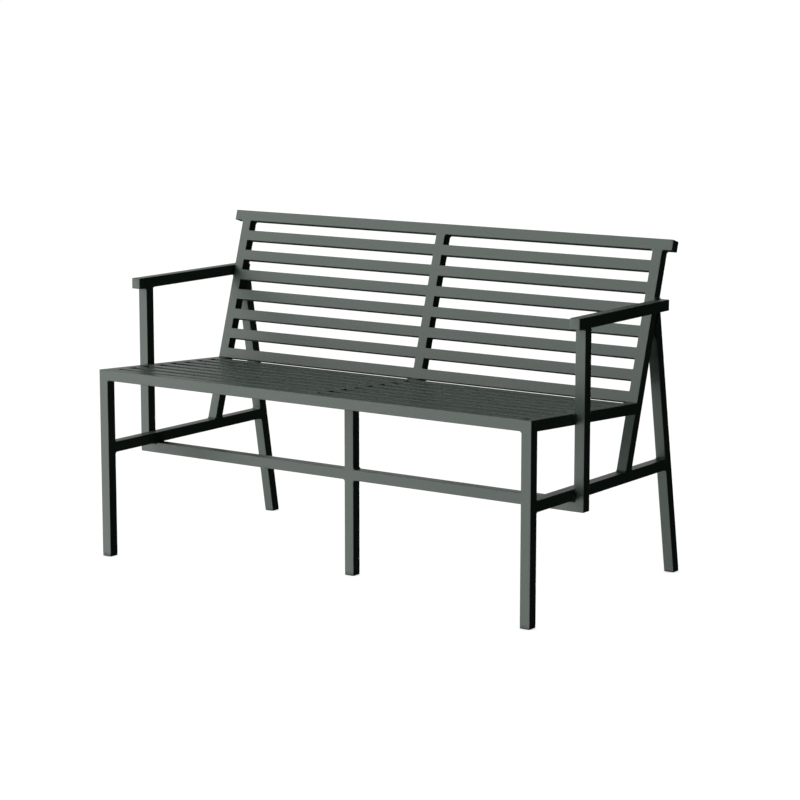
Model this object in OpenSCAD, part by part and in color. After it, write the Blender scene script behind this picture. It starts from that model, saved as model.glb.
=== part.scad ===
// Street bench of welded square steel tube: a slatted seat and a slatted, reclined back in two bays,
// two arm frames, five feet. Millimetres, +Z up. The origin is on the floor, at the middle of the width
// and of the depth; the bench faces -Y.

/* [Overall] */
// Width over the two arms and the top rail
bench_w = 1250; // [1000:10:2000]
// Depth on the floor, from the front feet to the back of the rear feet
bench_d = 655; // [620:5:760]

/* [Seat] */
// Height of the seat at its front edge
seat_h = 450; // [410:5:500]
// How far the seat falls from its front edge to the back
seat_drop = 25; // [10:1:45]
// Depth of the seat, from its front edge to the face of the back
seat_d = 446; // [430:1:500]
// Number of slats in each bay of the seat
seat_slats = 8; // [3:1:9]

/* [Back] */
// Lean of the back from upright, in degrees
back_angle = 17; // [8:1:22]
// Number of slats in each bay of the back, under the top rail
back_slats = 7; // [6:1:9]

/* [Arms] */
// Height of the top of the arms
arm_h = 650; // [600:5:700]
// Distance of the arms' front ends behind the front edge of the seat
arm_setback = 150; // [80:5:200]
// How far an arm reaches past the front of its post
arm_overhang = 25; // [10:1:50]

/* [Under frame] */
// Clear height under the long stretcher
stretcher_h = 225; // [150:5:290]

/* [Tube] */
// Outside size of the square tube that the frame is made of
tube = 25; // [22:1:30]
// Wall thickness of the frame tube
wall = 2; // [1.5:0.1:2.4]
// Outside corner radius of all tubes
corner_r = 1; // [0.5:0.1:2.5]
// Outside size of the square tube that the slats are cut from
slat = 25; // [20:1:27]
// Wall thickness of the slat tube
slat_wall = 1.5; // [1.2:0.1:2.4]
// Clear gap between the slats of the back
slat_gap = 25; // [16:1:30]

/* [Ends] */
// Thickness of the steel plates that close the open tube ends
plate_t = 3; // [2:0.5:6]
// Height of a foot glide below the end of its tube
glide_h = 7; // [4:0.5:15]
// Length of the plug that holds a glide inside its tube
plug_l = 18; // [8:1:30]
// Wall thickness of the hollow plugs
plug_wall = 2.5; // [1.5:0.1:4]
// Clearance around a plug inside its tube
plug_clear = 0.2; // [0.1:0.05:0.5]

/* [Hidden] */
sides = ["left", "right"];
slat_nodes = concat(
    [for (s = sides, i = [1:seat_slats]) str("seat_slat_", s, "_", i)],
    [for (s = sides, i = [1:back_slats]) str("back_slat_", s, "_", i)]
);
NODES = concat(slat_nodes, [
    "front_leg_left", "front_leg_right", "rear_leg_left", "rear_leg_right", "centre_leg",
    "back_upright_left", "back_upright_centre", "back_upright_right", "back_top_rail",
    "seat_front_rail", "seat_side_rail_left", "seat_side_rail_right", "seat_centre_rail",
    "side_stretcher_left", "side_stretcher_right", "long_stretcher_left", "long_stretcher_right",
    "arm_left", "arm_right", "arm_post_left", "arm_post_right",
    "front_glides", "centre_glide", "rear_glides",
    "top_rail_end_plates", "arm_front_end_plates", "arm_rear_end_plates", "arm_post_end_plates",
    "centre_upright_end_plate"
]);
node = "all";
function on(name) = node == "all" || node == name;

paint = "#4d5652";    // satin powder coat
plastic = "#46504b";  // foot glides
$fn = 48;             // facets on a full circle, for the preview
slack = 5;            // how far a cutting shape stands clear of the tube it cuts
reach = 2 * (bench_d + seat_h + arm_h);   // longer than any tube in the side view
plug_r = 0.5;         // corner radius of the plugs

// Across the bench
frame_x = bench_w / 2 - tube;     // outer face of the side frames, inner face of the arm frames
inner_x = frame_x - tube;         // inner face of the side frames, where the slats end
half = tube / 2;

// In the side view, a point is [distance behind the front edge, height] and a direction is in degrees
// from the horizontal, 0 to the rear and 90 up. A line is [point, direction].
function dir(a) = [cos(a), sin(a)];
function meet(l, m) = l[0] + dir(l[1]) * cross(m[0] - l[0], dir(m[1])) / cross(dir(l[1]), dir(m[1]));
// The same line moved sideways, towards the side that a bar lies on
function moved(l, d) = [l[0] + dir(l[1] - 90) * d, l[1]];
function level(z) = [[0, z], 0];
function plumb(y) = [[y, 0], 90];

seat_angle = atan(seat_drop / seat_d);
seat_rear_h = seat_h - seat_drop;
slat_pitch = slat + slat_gap;
// The seat's slats are spread evenly between the front rail and the back
seat_gap = (seat_d / cos(seat_angle) - tube - seat_slats * slat) / (seat_slats + 1);

// Faces of the side frame
leg_face = plumb(0);
seat_face = [[0, seat_h], -seat_angle];                  // top of the seat
seat_under = moved(seat_face, tube);
back_face = [[seat_d, seat_rear_h], 90 - back_angle];    // front of the back
back_rear = moved(back_face, tube);
top_rail_foot = back_face[0] + dir(back_face[1]) * back_slats * slat_pitch;
top_rail_under = [top_rail_foot, -back_angle];
stretcher_top = level(stretcher_h + 2 * tube);           // side stretchers lie on the long stretcher
post_y = arm_setback + arm_overhang;

// The back edge of a rear leg runs from the floor to the point where the back of the upright
// passes the top of the arm
leg_tip = meet(back_rear, level(arm_h));
rear_leg_angle = atan((bench_d - leg_tip[0]) / arm_h);
rear_leg_face = moved([[bench_d, 0], 90 + rear_leg_angle], -tube);
arm_back = leg_tip[0];

// The front leg and the side rail meet in a mitre at the seat's front corner
corner_in = meet(moved(leg_face, tube), seat_under);
corner_out = [0, seat_h];
mitre = [corner_out, atan2(corner_in[1] - corner_out[1], corner_in[0] - corner_out[0])];

// ---- sections ----
module rounded_square(size, r) {
    translate([r, 0]) square([size - 2 * r, size]);
    translate([0, r]) square([size, size - 2 * r]);
    for (x = [r, size - r], y = [r, size - r]) translate([x, y]) circle(r);
}
// The bore has square corners
module tube_section(size = tube, w = wall) {
    difference() {
        rounded_square(size, corner_r);
        translate([w, w]) square(size - 2 * w);
    }
}
module solid_section() { rounded_square(tube, corner_r); }
// Hollow plug that slides into the frame tube
module plug_section() {
    gap = wall + plug_clear;
    size = tube - 2 * gap;
    translate([gap, gap]) difference() {
        rounded_square(size, plug_r);
        translate([plug_wall, plug_wall]) square(size - 2 * plug_wall);
    }
}

// ---- bars ----
// A bar in the side view: its section lies behind or under the line `face`, and it is cut off
// by the lines `from` and `to`
module bar(x, face, from, to) {
    near = moved(face, -slack);
    far = moved(face, tube + slack);
    translate([x, -bench_d / 2, 0]) intersection() {
        translate([0, face[0][0], face[0][1]]) rotate([face[1] - 90, 0, 0])
            translate([0, 0, -reach]) linear_extrude(2 * reach) children();
        translate([-slack, 0, 0]) rotate([90, 0, 90]) linear_extrude(tube + 2 * slack)
            polygon([meet(near, from), meet(near, to), meet(far, to), meet(far, from)]);
    }
}
// A bar across the bench from x0 to x1; its section starts at point p and goes in direction a
module cross_bar(x0, x1, p, a, size = tube) {
    translate([x0, -bench_d / 2, 0]) rotate([90, 0, 90]) linear_extrude(x1 - x0)
        translate(p) rotate(a) translate([0, -size]) children();
}
// Left edge of a side-frame tube, and of an arm-frame tube
function frame_edge(side) = side == "left" ? -frame_x : inner_x;
function arm_edge(side) = side == "left" ? -frame_x - tube : frame_x;

// ---- legs ----
module front_leg(side) color(paint)
    bar(frame_edge(side), leg_face, level(glide_h), mitre) tube_section();
module rear_leg(side) color(paint)
    bar(frame_edge(side), rear_leg_face, level(glide_h), back_rear) tube_section();
module centre_leg() color(paint)
    bar(-half, plumb(post_y), level(glide_h), seat_under) tube_section();

// ---- back ----
module back_upright(side) color(paint)
    bar(frame_edge(side), back_face, stretcher_top, top_rail_under) tube_section();
module back_upright_centre() color(paint)
    bar(-half, back_face, moved(seat_under, plate_t), top_rail_under) tube_section();
module back_top_rail() color(paint)
    cross_bar(-bench_w / 2 + plate_t, bench_w / 2 - plate_t, top_rail_foot, back_face[1]) tube_section();
module back_slat(side, row) color(paint) {
    foot = back_face[0] + dir(back_face[1]) * (row - 1) * slat_pitch;
    x0 = side == "left" ? -inner_x : half;
    cross_bar(x0, x0 + inner_x - half, foot, back_face[1], slat) tube_section(slat, slat_wall);
}

// ---- seat ----
module seat_front_rail() color(paint)
    cross_bar(-inner_x, inner_x, corner_out, 0) tube_section();
module seat_side_rail(side) color(paint)
    bar(frame_edge(side), seat_face, mitre, back_face) tube_section();
module seat_centre_rail() color(paint)
    bar(-half, seat_face, plumb(tube), back_face) tube_section();
module seat_slat(side, row) color(paint) {
    edge = corner_out + dir(-seat_angle) * (tube + seat_gap + (row - 1) * (slat + seat_gap));
    x0 = side == "left" ? -inner_x : half;
    cross_bar(x0, x0 + inner_x - half, edge, -seat_angle, slat) tube_section(slat, slat_wall);
}

// ---- under frame ----
module side_stretcher(side) color(paint)
    bar(frame_edge(side), stretcher_top, plumb(tube), rear_leg_face) tube_section();
module long_stretcher(side) color(paint) {
    x0 = side == "left" ? -frame_x : half;
    cross_bar(x0, x0 + frame_x - half, [post_y, stretcher_h + tube], 0) tube_section();
}

// ---- arm frames ----
module arm(side) color(paint)
    bar(arm_edge(side), level(arm_h), plumb(arm_setback + plate_t), plumb(arm_back - plate_t)) tube_section();
module arm_post(side) color(paint)
    bar(arm_edge(side), plumb(post_y), level(stretcher_h + plate_t), level(arm_h - tube)) tube_section();

// ---- ends ----
// A glide stands under a leg, between the floor and the end of the tube, and its plug goes on up the tube
module glide(x, face) color(plastic) {
    bar(x, face, level(0), level(glide_h)) solid_section();
    bar(x, face, level(glide_h), level(glide_h + plug_l)) plug_section();
}
module front_glides() for (s = sides) glide(frame_edge(s), leg_face);
module centre_glide() glide(-half, plumb(post_y));
module rear_glides() for (s = sides) glide(frame_edge(s), rear_leg_face);

// A plate closes the end of a bar; `outer` is its bare face and `seat` the end of the tube
module end_plate(x, face, outer, seat) color(paint) bar(x, face, outer, seat) solid_section();
module arm_front_end_plates() for (s = sides)
    end_plate(arm_edge(s), level(arm_h), plumb(arm_setback), plumb(arm_setback + plate_t));
module arm_rear_end_plates() for (s = sides)
    end_plate(arm_edge(s), level(arm_h), plumb(arm_back - plate_t), plumb(arm_back));
module arm_post_end_plates() for (s = sides)
    end_plate(arm_edge(s), plumb(post_y), level(stretcher_h), level(stretcher_h + plate_t));
// The centre upright ends under the centre rail
module centre_upright_end_plate()
    end_plate(-half, back_face, moved(seat_under, 2 * plate_t), moved(seat_under, plate_t));
module top_rail_end_plates() color(paint) for (x = [-bench_w / 2, bench_w / 2 - plate_t])
    cross_bar(x, x + plate_t, top_rail_foot, back_face[1]) solid_section();

for (s = sides) {
    for (i = [1:seat_slats]) if (on(str("seat_slat_", s, "_", i))) seat_slat(s, i);
    for (i = [1:back_slats]) if (on(str("back_slat_", s, "_", i))) back_slat(s, i);
    if (on(str("front_leg_", s))) front_leg(s);
    if (on(str("rear_leg_", s))) rear_leg(s);
    if (on(str("back_upright_", s))) back_upright(s);
    if (on(str("seat_side_rail_", s))) seat_side_rail(s);
    if (on(str("side_stretcher_", s))) side_stretcher(s);
    if (on(str("long_stretcher_", s))) long_stretcher(s);
    if (on(str("arm_", s))) arm(s);
    if (on(str("arm_post_", s))) arm_post(s);
}
if (on("centre_leg")) centre_leg();
if (on("back_upright_centre")) back_upright_centre();
if (on("back_top_rail")) back_top_rail();
if (on("seat_front_rail")) seat_front_rail();
if (on("seat_centre_rail")) seat_centre_rail();
if (on("front_glides")) front_glides();
if (on("centre_glide")) centre_glide();
if (on("rear_glides")) rear_glides();
if (on("top_rail_end_plates")) top_rail_end_plates();
if (on("arm_front_end_plates")) arm_front_end_plates();
if (on("arm_rear_end_plates")) arm_rear_end_plates();
if (on("arm_post_end_plates")) arm_post_end_plates();
if (on("centre_upright_end_plate")) centre_upright_end_plate();
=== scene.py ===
import math
import bpy
import numpy as np
from mathutils import Matrix, Vector
from mathutils.bvhtree import BVHTree


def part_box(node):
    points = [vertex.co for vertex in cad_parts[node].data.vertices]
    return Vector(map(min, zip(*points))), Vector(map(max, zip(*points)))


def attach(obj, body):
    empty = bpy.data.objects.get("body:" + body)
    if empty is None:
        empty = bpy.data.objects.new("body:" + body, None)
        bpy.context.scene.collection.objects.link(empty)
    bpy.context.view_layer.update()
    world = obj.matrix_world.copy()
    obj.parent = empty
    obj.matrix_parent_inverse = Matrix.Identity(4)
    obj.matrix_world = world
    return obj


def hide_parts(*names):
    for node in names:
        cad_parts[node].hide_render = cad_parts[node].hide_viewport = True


# A street bench welded from square steel tube and powder coated dark grey-green. Each tube is made again
# from its CAD node with true round corners, and gets its welds, end plates and foot glides.

mm = 0.001
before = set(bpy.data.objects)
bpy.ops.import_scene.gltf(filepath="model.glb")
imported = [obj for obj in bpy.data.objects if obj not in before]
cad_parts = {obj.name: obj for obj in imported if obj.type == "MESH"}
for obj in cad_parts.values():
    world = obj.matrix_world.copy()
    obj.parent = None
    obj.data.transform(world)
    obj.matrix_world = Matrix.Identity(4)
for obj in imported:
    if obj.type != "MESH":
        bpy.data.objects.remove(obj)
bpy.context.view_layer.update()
random = np.random.default_rng(12)
print("frame:", len(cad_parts), "nodes")

imageSize = (800, 800)
imagePoints = {
    "benchLeft": (99.6, None),
    "benchRight": (679.0, None),
    "benchTop": (None, 210.0),
    "benchBottom": (None, 629.8),
    "seatFrontLeft": (99.6, 369.4),
    "seatFrontRight": (531.5, 420.9),
    "footFrontLeft": (102.9, 555.1),
    "footFrontRight": (529.8, 629.8),
    "footCentre": (353.5, 575.9),
    "footRearRight": (672.8, 572.0),
    "armRightFront": (579.7, 319.8),
    "topRailLeftUnder": (236.0, 219.0),
    "topRailRightUnder": (676.9, 253.2),
    "postRightFoot": (583.2, 512.8),
    "beadOnRail": (573.8, 419.0),
    "beadOnStretcher": (573.6, 497.0),
}

cameraSettings = {
    "place": (3.3040, -4.6763, 1.3679),
    "azimuth": 34.943,   # degrees round from the front to the bench's right
    "pitch": 9.694,      # degrees down
    "roll": 0.024,
    "lens": 112.04,      # mm, on a sensor of 36 mm
    "sensor": 36.0,
}


def makeCamera(s):
    # turned about the upright, tipped down from level and rolled, in that order
    data = bpy.data.cameras.new("camera")
    data.sensor_fit = "AUTO"
    data.sensor_width = s["sensor"]
    data.lens = s["lens"]
    data.clip_end = 200
    cam = bpy.data.objects.new("camera", data)
    bpy.context.collection.objects.link(cam)
    turn = Matrix.Rotation(math.radians(s["azimuth"]), 4, "Z")
    tip = Matrix.Rotation(math.radians(90 - s["pitch"]), 4, "X")
    roll = Matrix.Rotation(math.radians(s["roll"]), 4, "Z")
    cam.matrix_world = Matrix.Translation(s["place"]) @ turn @ tip @ roll
    bpy.context.scene.camera = cam
    bpy.context.view_layer.update()
    return cam


camera = makeCamera(cameraSettings)
print("camera set")


def toImage(points):
    # where points show in the photograph's frame: across and down from the middle, over the distance ahead
    view = np.array(camera.matrix_world.inverted())
    seen = np.asarray(points) @ view[:3, :3].T + view[:3, 3]
    longSide = max(imageSize)
    scale = camera.data.lens / camera.data.sensor_width * longSide / -seen[:, 2]
    x = imageSize[0] / 2 + seen[:, 0] * scale - camera.data.shift_x * longSide
    y = imageSize[1] / 2 - seen[:, 1] * scale + camera.data.shift_y * longSide
    return np.stack([x, y], 1)


rayReach = np.linspace(4, 10, 600)      # how far from the camera a ray that misses is searched, in metres


def placeInView(pointName, carrier):
    # the place on the carrier that an image point looks at, or the one nearest to its ray
    x, y = imagePoints[pointName]
    longSide = max(imageSize)
    ahead = Vector((
        x - imageSize[0] / 2 + camera.data.shift_x * longSide,
        imageSize[1] / 2 - y + camera.data.shift_y * longSide,
        -longSide * camera.data.lens / camera.data.sensor_width,
    ))
    start = camera.matrix_world.translation
    direction = (camera.matrix_world.to_3x3() @ ahead).normalized()
    hit = carrier.ray_cast(start, direction)[0]
    if hit is None:
        near = [carrier.find_nearest(start + direction * d) for d in rayReach]
        hit = min(near, key=lambda found: found[3])[0]
    return np.array(hit)


def unit(v):
    # length one, along the last axis
    return v / np.maximum(np.linalg.norm(v, axis=-1, keepdims=True), 1e-12)


def readArray(items, field, width):
    values = np.empty(len(items) * width)
    items.foreach_get(field, values)
    return values.reshape(-1, width)


def skin(rings, loop=False):
    # quads between rows of points that run round a closed outline; the last row joins the first when
    # loop is true, and is capped like the first when it isn't
    rings = np.array(rings)
    rows, columns = rings.shape[:2]
    row = np.arange(rows if loop else rows - 1)[:, None] * columns
    column = np.arange(columns)[None, :]
    after = (column + 1) % columns
    above = (row + columns) % (rows * columns)
    faces = np.stack([row + column, row + after, above + after, above + column], -1).reshape(-1, 4).tolist()
    if not loop:
        cap = np.arange(columns)
        faces += [cap[::-1].tolist(), (cap + (rows - 1) * columns).tolist()]
    return rings.reshape(-1, 3), faces


def makePiece(name, skins, look, replaced=(), sharpAngle=20):
    # one object from several closed skins, smooth except where faces turn by more than the sharp angle
    starts = np.cumsum([0] + [len(points) for points, faces in skins])
    mesh = bpy.data.meshes.new(name)
    mesh.from_pydata(
        np.concatenate([points for points, faces in skins]).tolist(), [],
        [[i + start for i in face] for start, (points, faces) in zip(starts, skins) for face in faces],
    )
    mesh.shade_smooth()
    mesh.set_sharp_from_angle(angle=math.radians(sharpAngle))
    mesh.materials.append(look["material"])
    piece = bpy.data.objects.new(name, mesh)
    bpy.context.collection.objects.link(piece)
    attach(piece, "root")
    if replaced:
        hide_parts(*replaced)
    return piece


def fromHex(text):
    # sRGB to linear light: a straight line up to 0.04045, a power of 2.4 above it
    s = np.array([int(text[i:i + 2], 16) for i in (1, 3, 5)]) / 255
    return (*np.where(s <= 0.04045, s / 12.92, ((s + 0.055) / 1.055) ** 2.4), 1.0)


def addNode(tree, kind, inputs=None, **settings):
    # adds a node with its settings; an input that is a socket is linked, any other is a value
    node = tree.nodes.new(kind)
    for name, value in settings.items():
        setattr(node, name, value)
    for name, value in (inputs or {}).items():
        if isinstance(value, bpy.types.NodeSocket):
            tree.links.new(value, node.inputs[name])
        else:
            node.inputs[name].default_value = value
    return node


# Polyester powder coat, sprayed on dry and melted in an oven: it flows into one satin film with a faint
# orange peel, and its thickness wanders a little, which shows as a soft drift of tone and gloss.
powderCoatSettings = {
    "colour": "#445149",
    "lighter": "#4b5850",
    "drift": 180 * mm,      # size of the soft patches of tone
    "driftRange": (0.3, 0.7),   # the noise's values that give the darkest and the lightest patch
    "peel": 7 * mm,         # real orange peel is 1 to 3 mm; drawn coarser so that it shows at all
    "peelHeight": 0.02 * mm,
    "roughness": (0.36, 0.44),
    "ior": 1.5,
}


def makePowderCoat(s):
    material = bpy.data.materials.new("satinPowderCoat")
    material.use_nodes = True
    tree = material.node_tree
    shader = tree.nodes["Principled BSDF"]
    place = addNode(tree, "ShaderNodeTexCoord").outputs["Object"]
    drift = addNode(tree, "ShaderNodeTexNoise", {"Vector": place, "Scale": 1 / s["drift"], "Detail": 3.0})
    low, high = s["driftRange"]
    tone = addNode(tree, "ShaderNodeMapRange", {
        "Value": drift.outputs["Fac"], "From Min": low, "From Max": high, "To Min": 0.0, "To Max": 1.0})
    colour = addNode(tree, "ShaderNodeMix", {
        "Factor": tone.outputs["Result"], "A": fromHex(s["colour"]), "B": fromHex(s["lighter"])},
        data_type="RGBA")
    gloss = addNode(tree, "ShaderNodeMapRange", {
        "Value": drift.outputs["Fac"], "From Min": low, "From Max": high,
        "To Min": s["roughness"][0], "To Max": s["roughness"][1]})
    peel = addNode(tree, "ShaderNodeTexNoise", {"Vector": place, "Scale": 1 / s["peel"], "Detail": 2.0})
    bump = addNode(tree, "ShaderNodeBump", {
        "Height": peel.outputs["Fac"], "Strength": 1.0, "Distance": s["peelHeight"]})
    tree.links.new(colour.outputs["Result"], shader.inputs["Base Color"])
    tree.links.new(gloss.outputs["Result"], shader.inputs["Roughness"])
    tree.links.new(bump.outputs["Normal"], shader.inputs["Normal"])
    shader.inputs["IOR"].default_value = s["ior"]
    return material


# Nylon, injection moulded in a sparked tool and coloured through: duller than the coat, with a fine even
# grain. Painted shade darkens it towards the floor, where it stands, in place of the contact shadow.
nylonSettings = {
    "colour": "#434c47",
    # painted shade: the dark colour that stands in for the contact shadow at the foot
    "paintedShade": "#161917",
    "paintedShadeHeight": 4 * mm,
    "paintedShadeCover": 2.0,       # at the floor; the grain, about a half, scales it
    "grain": 2.5 * mm,      # real spark grain is 0.1 mm; drawn coarser so that it shows at all
    "grainHeight": 0.02 * mm,
    "roughness": 0.55,
}


def makeNylon(s):
    material = bpy.data.materials.new("mouldedNylon")
    material.use_nodes = True
    tree = material.node_tree
    shader = tree.nodes["Principled BSDF"]
    place = addNode(tree, "ShaderNodeTexCoord").outputs["Object"]
    grain = addNode(tree, "ShaderNodeTexNoise", {"Vector": place, "Scale": 1 / s["grain"], "Detail": 3.0})
    height = addNode(tree, "ShaderNodeSeparateXYZ", {"Vector": place})
    # painted contact shade: darkest at the floor, gone at the height above, broken up by the grain
    low = addNode(tree, "ShaderNodeMapRange", {
        "Value": height.outputs["Z"], "From Min": 0.0, "From Max": s["paintedShadeHeight"],
        "To Min": s["paintedShadeCover"], "To Max": 0.0})
    paintedShadeAmount = addNode(tree, "ShaderNodeMath", {0: low.outputs["Result"], 1: grain.outputs["Fac"]},
                    operation="MULTIPLY")
    colour = addNode(tree, "ShaderNodeMix", {
        "Factor": paintedShadeAmount.outputs["Value"], "A": fromHex(s["colour"]), "B": fromHex(s["paintedShade"])},
        data_type="RGBA")
    bump = addNode(tree, "ShaderNodeBump", {
        "Height": grain.outputs["Fac"], "Strength": 1.0, "Distance": s["grainHeight"]})
    tree.links.new(colour.outputs["Result"], shader.inputs["Base Color"])
    tree.links.new(bump.outputs["Normal"], shader.inputs["Normal"])
    shader.inputs["Roughness"].default_value = s["roughness"]
    return material


coat = {"material": makePowderCoat(powderCoatSettings), "slot": "powder_coat"}
nylon = {"material": makeNylon(nylonSettings), "slot": "glide_plastic"}
print("materials made")

tubeSettings = {
    "corner": 1 * mm,       # outside corner radius
    "leastCorner": 0.3 * mm,    # and the smallest one, where an outline is drawn in
    "arcSteps": 8,
    "hold": 0.5 * mm,       # a line this far beside each corner keeps the flat side flat in its shading
    "wall": 2 * mm,
    "slatWall": 1.5 * mm,
    "mitreEdge": 2 * mm,    # radius ground on the outside of a mitred corner
    "mitreSteps": 6,
}

findSettings = {
    "side": 0.05,           # a long side's normal has less than this along the axis
    "end": 0.2,             # and an end's normal more than this
    "meet": 5 * mm,         # ends of two tubes closer than this meet in a mitred corner
    "touch": 0.1 * mm,      # sides closer than this touch
    "facing": -0.999,       # cosine between normals that look straight at each other
}


def readTube(name):
    # axis: square to every long face, so the direction that their normals have least of; u: square to the
    # largest flat side; v: across both; the two ends are planes, each a point and an outward normal
    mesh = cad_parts[name].data
    points = readArray(mesh.vertices, "co", 3)
    normals = readArray(mesh.polygons, "normal", 3)
    areas = readArray(mesh.polygons, "area", 1)[:, 0]
    centres = readArray(mesh.polygons, "center", 3)
    long = np.ones(len(areas), bool)
    for look in range(2):   # with all the faces first, then with the long ones alone
        spread = (normals[long] * areas[long, None]).T @ normals[long]
        axis = np.linalg.eigh(spread)[1][:, 0]
        long = np.abs(normals @ axis) < findSettings["side"]
    axis = axis * np.sign(axis[np.abs(axis).argmax()])
    u = unit(normals[long][areas[long].argmax()])
    v = np.cross(axis, u)
    across = points @ np.stack([u, v], 1)
    low, high = across.min(0), across.max(0)
    middle = (low + high) / 2
    ends = []
    for way in (-1, 1):
        cut = (normals @ axis) * way > findSettings["end"]
        ends.append((np.average(centres[cut], 0, areas[cut]), unit(normals[cut].mean(0))))
    return {
        "name": name, "axis": axis, "u": u, "v": v, "half": (high - low).max() / 2,
        "centre": middle[0] * u + middle[1] * v, "ends": ends,
    }


def sidePlanes(tube):
    # a point and the outward normal of each of the four sides
    normals = (tube["u"], tube["v"], -tube["u"], -tube["v"])
    return [(tube["centre"] + n * tube["half"], n) for n in normals]


def outline(half, inset=0.0, flatSteps=1):
    # rounded square, in u and v: each corner is a quarter circle about a centre one radius in from two
    # sides, and the flat sides between are cut into equal steps; gives points and outward normals
    s = tubeSettings
    radius = max(s["corner"] - inset, s["leastCorner"])
    edge = half - inset
    arc = np.linspace(0, np.pi / 2, s["arcSteps"] + 1)
    flats = np.linspace(s["hold"], 2 * (edge - radius) - s["hold"], flatSteps + 1)
    arcNormals = np.stack([np.cos(arc), np.sin(arc)], 1)
    quarter = np.concatenate([
        arcNormals * radius + edge - radius,
        np.stack([edge - radius - flats, np.full_like(flats, edge)], 1),
    ])
    normals = np.concatenate([arcNormals, np.tile([0.0, 1.0], (len(flats), 1))])
    quarterTurns = np.arange(4) * np.pi / 2
    turns = [np.array([[math.cos(a), math.sin(a)], [-math.sin(a), math.cos(a)]]) for a in quarterTurns]
    return np.concatenate([quarter @ t for t in turns]), np.concatenate([normals @ t for t in turns])


def ringOn(tube, flat, plane):
    # an outline slid along the tube's axis on to a plane
    base = tube["centre"] + flat[:, :1] * tube["u"] + flat[:, 1:] * tube["v"]
    slide = ((plane[0] - base) @ plane[1]) / (tube["axis"] @ plane[1])
    return base + slide[:, None] * tube["axis"]


def moved(plane, distance):
    # a plane, shifted along its normal
    return plane[0] + plane[1] * distance, plane[1]


def roundEdge(points, faces, radius):
    # the edge between two faces becomes a quarter cylinder that touches both: points outside it move
    # straight towards its axis
    depth = np.stack([(p - points) @ n for p, n in faces], 1)
    gram = faces[0][1] @ faces[1][1]
    past = radius - depth
    weights = (past - gram * past[:, ::-1]) / (1 - gram * gram)
    offset = weights[:, :1] * faces[0][1] + weights[:, 1:] * faces[1][1]
    length = np.linalg.norm(offset, axis=1, keepdims=True)
    outside = (weights.min(1, keepdims=True) > 0) & (length > radius)
    return np.where(outside, points - offset * (1 - radius / np.maximum(length, 1e-9)), points)


def sideAlong(tube, way):
    # the side of a tube that looks most along a direction
    return max(sidePlanes(tube), key=lambda side: side[1] @ way)


def findMitre(tube, plane):
    # the tube whose own cut lies on this one, the way back into each of the two from there, and their
    # outer faces, which meet in an edge
    s = findSettings
    for other in tubes.values():
        for point, normal in other["ends"]:
            close = np.linalg.norm(point - plane[0]) < s["meet"] and normal @ plane[1] < s["facing"]
            if other is not tube and close:
                backs = [t["axis"] * -np.sign(t["axis"] @ n) for t, n in ((tube, plane[1]), (other, normal))]
                return other, backs, (sideAlong(tube, -backs[1]), sideAlong(other, -backs[0]))
    return None


def tubeSkin(tube, wall):
    # the outline carried from one end plane to the other, and its inner wall carried back
    s = tubeSettings
    outer = outline(tube["half"])[0]
    inner = outline(tube["half"], wall)[0]
    near, far = [], []
    for plane, rings in zip(tube["ends"], (near, far)):
        rings.append(ringOn(tube, outer, plane))
        mitre = findMitre(tube, plane)
        if mitre:
            back = 2 * s["mitreEdge"]
            depths = [-back * k / s["mitreSteps"] for k in range(s["mitreSteps"] + 1)]
            edge = s["mitreEdge"]
            rings[:] = [roundEdge(ringOn(tube, outer, moved(plane, d)), mitre[2], edge) for d in depths]
    start, end = tube["ends"]
    rings = near + far[::-1] + [ringOn(tube, inner, end), ringOn(tube, inner, start)]
    return skin(rings, loop=True)


notTubes = ("glides", "glide", "plates", "plate")
tubes = {name: readTube(name) for name in sorted(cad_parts) if not name.endswith(notTubes)}
finished = {}
for name, tube in tubes.items():
    wall = tubeSettings["slatWall" if "slat" in name else "wall"]
    finished[name] = makePiece("tube_" + name, [tubeSkin(tube, wall)], coat, [name])
print("tubes made:", len(tubes))

plateSettings = {
    "edge": 2 * mm,         # radius that the grinder left round the plate
    "steps": 6,
    "closes": {             # which end of which tube each plate closes, 0 the lower, left or front one
        "top_rail_end_plates": [("back_top_rail", 0), ("back_top_rail", 1)],
        "arm_front_end_plates": [("arm_left", 0), ("arm_right", 0)],
        "arm_rear_end_plates": [("arm_left", 1), ("arm_right", 1)],
        "arm_post_end_plates": [("arm_post_left", 0), ("arm_post_right", 0)],
        "centre_upright_end_plate": [("back_upright_centre", 0)],
    },
}


def plateSkin(tube, end, points, s):
    # the tube's outline carried on from its end to the plate's bare face, drawn in over the last stretch
    # by the radius less its cosine
    plane = tube["ends"][end]
    thickness = ((points - plane[0]) @ plane[1]).max()
    turn = np.linspace(0, np.pi / 2, s["steps"] + 1)
    depths = thickness - s["edge"] * (1 - np.sin(turn))
    insets = s["edge"] * (1 - np.cos(turn))
    rings = [ringOn(tube, outline(tube["half"])[0], plane)]
    rings += [ringOn(tube, outline(tube["half"], i)[0], moved(plane, d)) for i, d in zip(insets, depths)]
    return skin(rings if end else rings[::-1])


for node, closed in plateSettings["closes"].items():
    points = readArray(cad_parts[node].data.vertices, "co", 3)
    skins = [plateSkin(tubes[name], end, points, plateSettings) for name, end in closed]
    finished[node] = makePiece(node.replace("_end_", "_ground_end_"), skins, coat, [node])
print("end plates made:", len(plateSettings["closes"]))

glideSettings = {
    "reveal": 0.3 * mm,     # the glide is this much smaller than its tube all round
    "lip": 0.8 * mm,        # radius at its upper edge, which draws the joint line
    "sole": 1.5 * mm,       # radius where it stands
    "steps": 4,
    "plugGap": 0.2 * mm,
    "plugEdge": 1 * mm,     # bevel that leads the plug in
    "legs": {
        "front_glides": ["front_leg_left", "front_leg_right"],
        "centre_glide": ["centre_leg"],
        "rear_glides": ["rear_leg_left", "rear_leg_right"],
    },
}


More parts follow.
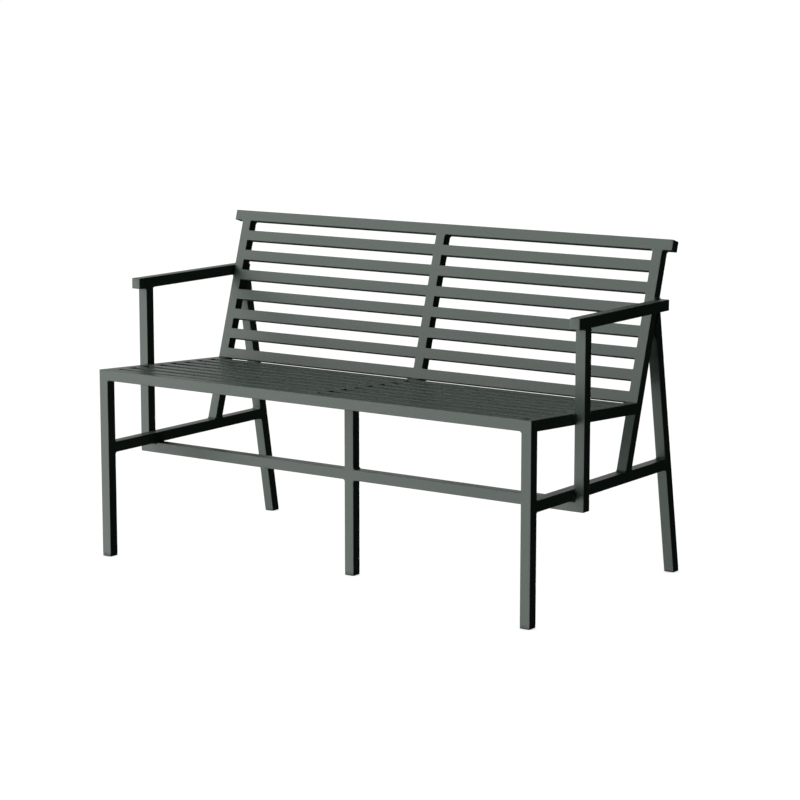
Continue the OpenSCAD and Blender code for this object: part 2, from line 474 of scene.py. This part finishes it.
def glideSkin(tube, top, s):
    # level rings of the leg's own outline from the floor up: round sole, straight side, round lip, then in
    # to the plug and up inside the tube
    seat = tube["ends"][0][0][2]
    turn = np.linspace(0, np.pi / 2, s["steps"] + 1)
    plug = tubeSettings["wall"] + s["plugGap"]
    steps = [(s["reveal"] + s["sole"] * (1 - math.sin(t)), s["sole"] * (1 - math.cos(t))) for t in turn]
    steps += [(s["reveal"] + s["lip"] * (1 - math.cos(t)), seat - s["lip"] * (1 - math.sin(t))) for t in turn]
    steps += [(plug, seat), (plug, top - s["plugEdge"]), (plug + s["plugEdge"], top)]
    level = np.array([0.0, 0.0, 1.0])
    return skin([ringOn(tube, outline(tube["half"], i)[0], (level * z, level)) for i, z in steps])


for node, legs in glideSettings["legs"].items():
    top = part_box(node)[1][2]
    skins = [glideSkin(tubes[leg], top, glideSettings) for leg in legs]
    finished[node] = makePiece(node.replace("glide", "foot_glide"), skins, nylon, [node], sharpAngle=40)
print("foot glides made:", len(glideSettings["legs"]))

weldSettings = {
    "leg": 3.5 * mm,        # width of a fillet on each of its two faces, in the frame
    "smallLeg": 1.2 * mm,   # and where the seat and the back are joined to it
    "small": ("slat", "seat_side_rail", "seat_centre_rail"),
    "feather": 1 * mm,      # a joint ground flush is dressed this far on to the tube
    "margin": 1 * mm,       # and this far past the corner radius of the tube that it meets
    "crown": 0.35 * mm,     # how far a fillet bulges
    "flushCrown": 0.05 * mm,
    "beadLegs": (4.5 * mm, 5.5 * mm),   # of a bead beside a tube that lies on another: out on each of the two
    "beadCrown": 1.5 * mm,  # such a bead is one full, round pass
    "sink": 0.05 * mm,      # the toes lie under the coat, so no edge of the weld stands up
    "root": 1 * mm,
    "narrow": (0.7, 2),     # limits to how much a fillet's width follows the corner's angle
    "waver": 0.12,          # share by which a fillet's width comes and goes
    "waves": (5, 9, 14, 23),    # how often it does so round a tube
    "beadWaves": (2, 5, 9),     # and along a bead
    "steps": 6,
    "flatSteps": 20,
    "beadSteps": 32,
    "beadTip": 0.02,        # size at a bead's ends, as a share
    "mitreInset": 0.5 * mm,     # how far a bead in a mitred corner stops short of the tube's sides
    "look": 2 * mm,         # how far outside a side the carrier is looked for
    "ahead": 1 * mm,        # and how far past the tube's end
}


def inTube(point):
    # true inside any tube: behind its four sides and both its ends
    return any(all((point - p) @ n < 0 for p, n in sidePlanes(t) + t["ends"]) for t in tubes.values())


def weldRing(tube, end, leg, s):
    # Every point of the end's outline gets a section from one toe to the other. Where the carrier runs on
    # past that side, the section is a fillet: from one leg up the tube to one leg out on the carrier. Where
    # the two are flush, it lies flat and bridges the carrier's round corner. Over the tube's own corner
    # the one turns into the other with the sine and cosine of the turn.
    plane = tube["ends"][end]
    normal = plane[1]
    sides = (tube["u"], tube["v"], -tube["u"], -tube["v"])
    ahead = plane[0] + normal * s["ahead"]
    if not inTube(ahead + sides[0] * (tube["half"] / 2)) or findMitre(tube, plane):
        return None
    flat, turned = outline(tube["half"], 0.0, s["flatSteps"])
    corners = np.array([[1, 0], [0, 1], [-1, 0], [0, -1]]) * (tube["half"] + s["look"])
    covered = np.array([inTube(p) for p in ringOn(tube, corners, moved(plane, s["ahead"]))], float)
    share = np.maximum(np.stack([turned[:, 0], turned[:, 1], -turned[:, 0], -turned[:, 1]], 1), 0)
    outward = (share * covered) @ np.array(sides)
    flush = (share * (1 - covered)) @ np.array(sides)
    cover = np.linalg.norm(outward, axis=1, keepdims=True)
    level = np.linalg.norm(flush, axis=1, keepdims=True)
    back = tube["axis"] * -np.sign(tube["axis"] @ normal)
    slant = abs(back @ normal)
    edge = ringOn(tube, flat, plane)
    away = unit(outward - (outward @ normal)[:, None] * normal) * cover
    opening = np.arccos(np.clip(unit(away) @ back, -1, 1))[:, None]
    narrow = np.clip(1 / (math.sqrt(2) * np.sin(opening / 2)), *s["narrow"])
    turns = np.linspace(0, 2 * np.pi, len(flat), endpoint=False)[:, None]
    waves = sum(np.sin(k * turns + random.uniform(0, 6.28)) / n for n, k in enumerate(s["waves"], 1)) / 2
    size = leg * narrow * (1 + s["waver"] * waves)
    toeA = edge + back * (size * cover ** 2 + s["feather"] * level ** 2)
    reach = (tubeSettings["corner"] * (1 - cover) + s["margin"] * level) / slant
    toeB = edge + away * size - back * reach
    toeA = toeA - (outward + flush) * s["sink"]
    toeB = toeB - flush * s["sink"] - back * cover * s["sink"]
    lift = unit(away + back * cover + flush)
    crown = s["crown"] * cover ** 2 * leg / s["leg"] + s["flushCrown"] * level ** 2
    t = np.linspace(0, 1, s["steps"] + 1)
    rings = [toeA + (toeB - toeA) * k + lift * crown * 4 * k * (1 - k) for k in t]
    rings.append(edge - (outward + flush) * s["root"] - back * s["root"])
    return skin(rings if end else rings[::-1], loop=True)


def beadSkin(start, finish, alongA, alongB, legs, crown, s):
    # a straight fillet: its section has a crowned face between two toes, and swells from both of its ends
    # as a flattened ellipse does
    t = np.linspace(-1, 1, s["beadSteps"] + 1)[:, None, None]
    swell = np.sqrt(np.maximum(1 - t ** 6, 0.0)) * (1 - s["beadTip"]) + s["beadTip"]
    waves = sum(np.sin(k * t * 3 + random.uniform(0, 6.28)) / n for n, k in enumerate(s["beadWaves"], 1)) / 2
    size = swell * (1 + s["waver"] * waves * (1 - t ** 4))
    k = np.linspace(0, 1, s["steps"] + 1)[None, :, None]
    centre = (start + finish) / 2 + (finish - start) / 2 * t
    face = alongA * legs[0] * (1 - k) + alongB * legs[1] * k + unit(alongA + alongB) * crown * 4 * k * (1 - k)
    root = -(alongA + alongB)[None, None, :] * s["root"]
    section = np.concatenate([face, root], 1) * size
    rings = centre + section
    clockwise = np.cross(alongA, alongB) @ (finish - start) < 0
    return skin(rings[::-1] if clockwise else rings)


def touchBead(over, under, way, s, middle=None):
    # a bead in the corner between the side of a tube that looks along the way and the face of another
    # that the tube lies on, as long as the two touch; with a middle given, it is centred at that height
    for p, n in sidePlanes(over):
        for q, m in sidePlanes(under):
            if n @ m < findSettings["facing"] and abs((q - p) @ n) < findSettings["touch"]:
                contact = (p, n)
    axis = over["axis"]
    sidePlane = sideAlong(over, way)
    a = np.stack([contact[1], sidePlane[1], axis])
    base = np.linalg.solve(a, [contact[0] @ contact[1], sidePlane[0] @ sidePlane[1], 0.0])
    low, high = -math.inf, math.inf
    for p, n in sidePlanes(under) + under["ends"] + over["ends"]:
        slope = n @ axis
        if abs(slope) > findSettings["side"]:
            at = ((p - base) @ n) / slope
            low, high = (max(low, at), high) if slope < 0 else (low, min(high, at))
    if middle is not None:
        half = (high - low) / 2
        low, high = middle - half, middle + half
    start, finish = base + axis * low, base + axis * high
    return beadSkin(start, finish, -contact[1], sidePlane[1], s["beadLegs"], s["beadCrown"], s)


def mitreBead(tube, end, s):
    # the fillet inside a mitred corner, right across the tube
    other, backs, faces = findMitre(tube, tube["ends"][end])
    inner = [sideAlong(tube, backs[1]), sideAlong(other, backs[0])]
    across = unit(np.cross(inner[0][1], inner[1][1]))
    base = np.linalg.solve(
        np.stack([inner[0][1], inner[1][1], across]),
        [inner[0][0] @ inner[0][1], inner[1][0] @ inner[1][1], tube["centre"] @ across],
    )
    reach = across * (tube["half"] - s["mitreInset"])
    return beadSkin(base - reach, base + reach, backs[0], backs[1], (s["leg"], s["leg"]), s["crown"], s)


def joined(*names):
    # one tree of several finished pieces, for placing things on them
    meshes = [finished[n].data for n in names]
    starts = np.cumsum([0] + [len(m.vertices) for m in meshes])
    points = np.concatenate([readArray(m.vertices, "co", 3) for m in meshes])
    faces = [[i + start for i in f.vertices] for start, m in zip(starts, meshes) for f in m.polygons]
    return BVHTree.FromPolygons(points.tolist(), faces)


welds = {}


def addWeld(name, *skins):
    # welds are kept together by the part of the bench that they belong to
    part = "seat" if name.startswith("seat_slat") else "back" if name.startswith("back_slat") else "frame"
    side = next((word for word in ("left", "right") if word in name), "centre")
    welds.setdefault("%s_welds_%s" % (part, side), []).extend(k for k in skins if k is not None)


for name, tube in tubes.items():
    leg = weldSettings["smallLeg" if any(word in name for word in weldSettings["small"]) else "leg"]
    addWeld(name, weldRing(tube, 0, leg, weldSettings), weldRing(tube, 1, leg, weldSettings))

railHeight = placeInView("beadOnRail", joined("arm_post_right", "seat_side_rail_right"))[2]
stretcherHeight = placeInView("beadOnStretcher", joined("arm_post_right", "side_stretcher_right"))[2]
forward, upward = np.array([0.0, -1.0, 0.0]), np.array([0.0, 0.0, 1.0])
for side in ("left", "right"):
    post, arm = tubes["arm_post_" + side], tubes["arm_" + side]
    rail, stretcher = tubes["seat_side_rail_" + side], tubes["side_stretcher_" + side]
    addWeld(side, touchBead(post, rail, forward, weldSettings, railHeight))
    addWeld(side, touchBead(post, rail, -forward, weldSettings))
    addWeld(side, touchBead(post, stretcher, forward, weldSettings, stretcherHeight))
    addWeld(side, touchBead(post, stretcher, -forward, weldSettings))
    for way in (upward, -upward):
        addWeld(side, touchBead(arm, tubes["back_upright_" + side], way, weldSettings))
    for way in (forward, -forward):
        addWeld(side, touchBead(tubes["long_stretcher_" + side], stretcher, way, weldSettings))
    addWeld(side, mitreBead(tubes["front_leg_" + side], 1, weldSettings))
for name, skins in welds.items():
    finished[name] = makePiece(name, skins, coat, sharpAngle=40)
print("welds made:", {name: len(skins) for name, skins in welds.items()})

stageSettings = {
    "floor": "#ffffff",
    "floorBase": "#404040",
    "floorRoughness": 0.9,
    "floorSize": 60.0,      # half its width, in metres
    "floorGlow": 1.3,       # the floor's own light, clamped at plain white; set above one so that the painted contact shade keeps close to the feet
    "contact": 30 * mm,     # how far from a foot the floor's light is cut back, as painted contact shade
    "surroundings": "#0a1712",
    "sky": "#ffffff",
    "lights": {             # degrees round from the front to the right, degrees up, degrees across, strength
        "mainSoftbox": (-60, 10, 80, 1.72),
        "highSoftbox": (-40, 40, 60, 1.07),
        "leftSoftbox": (-60, -5, 40, 0.89),
        "lowSoftbox": (-20, -20, 45, 0.65),
        "rearSoftbox": (-155, 10, 50, 0.38),
        "rightFill": (95, -12, 20, 0.09),
        "backFill": (-170, -10, 20, 1.5),
    },
}


def makeFloor(s):
    # it gives white light of its own, cut back by ambient occlusion close to what stands there as painted
    # contact shade, and its paint is dark enough to show no shadow
    mesh = bpy.data.meshes.new("floor")
    r = s["floorSize"]
    mesh.from_pydata([(-r, -r, 0), (r, -r, 0), (r, r, 0), (-r, r, 0)], [], [(0, 1, 2, 3)])
    material = bpy.data.materials.new("paintedStudioFloor")
    material.use_nodes = True
    tree = material.node_tree
    shader = tree.nodes["Principled BSDF"]
    # painted contact shade: the glow is dimmed where legs and feet crowd round the floor
    near = addNode(tree, "ShaderNodeAmbientOcclusion", {"Distance": s["contact"]}, samples=16)
    glow = addNode(tree, "ShaderNodeMath", {0: near.outputs["AO"], 1: s["floorGlow"]}, operation="MULTIPLY",
                   use_clamp=True)
    tree.links.new(glow.outputs["Value"], shader.inputs["Emission Strength"])
    shader.inputs["Emission Color"].default_value = fromHex(s["floor"])
    shader.inputs["Base Color"].default_value = fromHex(s["floorBase"])
    shader.inputs["Roughness"].default_value = s["floorRoughness"]
    mesh.materials.append(material)
    floor = bpy.data.objects.new("floor", mesh)
    bpy.context.collection.objects.link(floor)
    floor.visible_diffuse = False
    floor.visible_glossy = False
    floor.visible_shadow = False


def makeLight(name, around, up, across, strength):
    # a softbox so far off that it is as strong all over the bench
    data = bpy.data.lights.new(name, "SUN")
    data.angle = math.radians(across)
    data.energy = strength
    light = bpy.data.objects.new(name, data)
    bpy.context.collection.objects.link(light)
    turn = Matrix.Rotation(math.radians(around), 4, "Z")
    light.matrix_world = turn @ Matrix.Rotation(math.radians(90 - up), 4, "X")


def makeWorld(s):
    # the camera sees a white room; what little light comes from all round is a dim green grey
    world = bpy.data.worlds.new("studio")
    bpy.context.scene.world = world
    world.use_nodes = True
    tree = world.node_tree
    seen = addNode(tree, "ShaderNodeLightPath").outputs["Is Camera Ray"]
    colour = addNode(tree, "ShaderNodeMix", {
        "Factor": seen, "A": fromHex(s["surroundings"]), "B": fromHex(s["sky"])}, data_type="RGBA")
    tree.links.new(colour.outputs["Result"], tree.nodes["Background"].inputs["Color"])


makeFloor(stageSettings)
for name, values in stageSettings["lights"].items():
    makeLight(name, *values)
makeWorld(stageSettings)
bpy.context.scene.view_settings.view_transform = "Standard"
print("stage and lights set")

# which way to look for each image point's own corner, on the piece that has it
cornerOf = {
    "seatFrontLeft": ("seat_side_rail_left", (-1, -0.3)),
    "seatFrontRight": ("front_leg_right", (0.3, -1)),
    "footFrontLeft": ("front_glides", (-1, 0.5)),
    "footFrontRight": ("front_glides", (0.3, 1)),
    "footCentre": ("centre_glide", (0, 1)),
    "footRearRight": ("rear_glides", (0.2, 1)),
    "armRightFront": ("arm_front_end_plates", (1, -0.6)),
    "topRailLeftUnder": ("top_rail_end_plates", (-1, 1)),
    "topRailRightUnder": ("top_rail_end_plates", (0.5, 1)),
    "postRightFoot": ("arm_post_end_plates", (0.2, 1)),
}


def measurePoints():
    # how far each thing shows from its image point: the picture's edges by all finished vertices, a corner
    # by the vertex furthest that way on its piece, a bead by the middle of its vertices
    seen = {name: toImage(readArray(piece.data.vertices, "co", 3)) for name, piece in finished.items()}
    every = np.concatenate(list(seen.values()))
    found = {
        "benchLeft": (every[:, 0].min(), None),
        "benchRight": (every[:, 0].max(), None),
        "benchTop": (None, every[:, 1].min()),
        "benchBottom": (None, every[:, 1].max()),
    }
    for name, (piece, way) in cornerOf.items():
        found[name] = seen[piece][(seen[piece] @ np.array(way)).argmax()]
    rightPost = tubes["arm_post_right"]
    front = sideAlong(rightPost, forward)[0]
    inner = rightPost["centre"][0] - rightPost["half"]
    for name, height in (("beadOnRail", railHeight), ("beadOnStretcher", stretcherHeight)):
        found[name] = toImage([(inner, front[1], height)])[0]
    return {
        name: {axis: round(float(f - p), 2) for axis, f, p in zip("xy", found[name], point) if p is not None}
        for name, point in imagePoints.items()
    }


measurePoints()
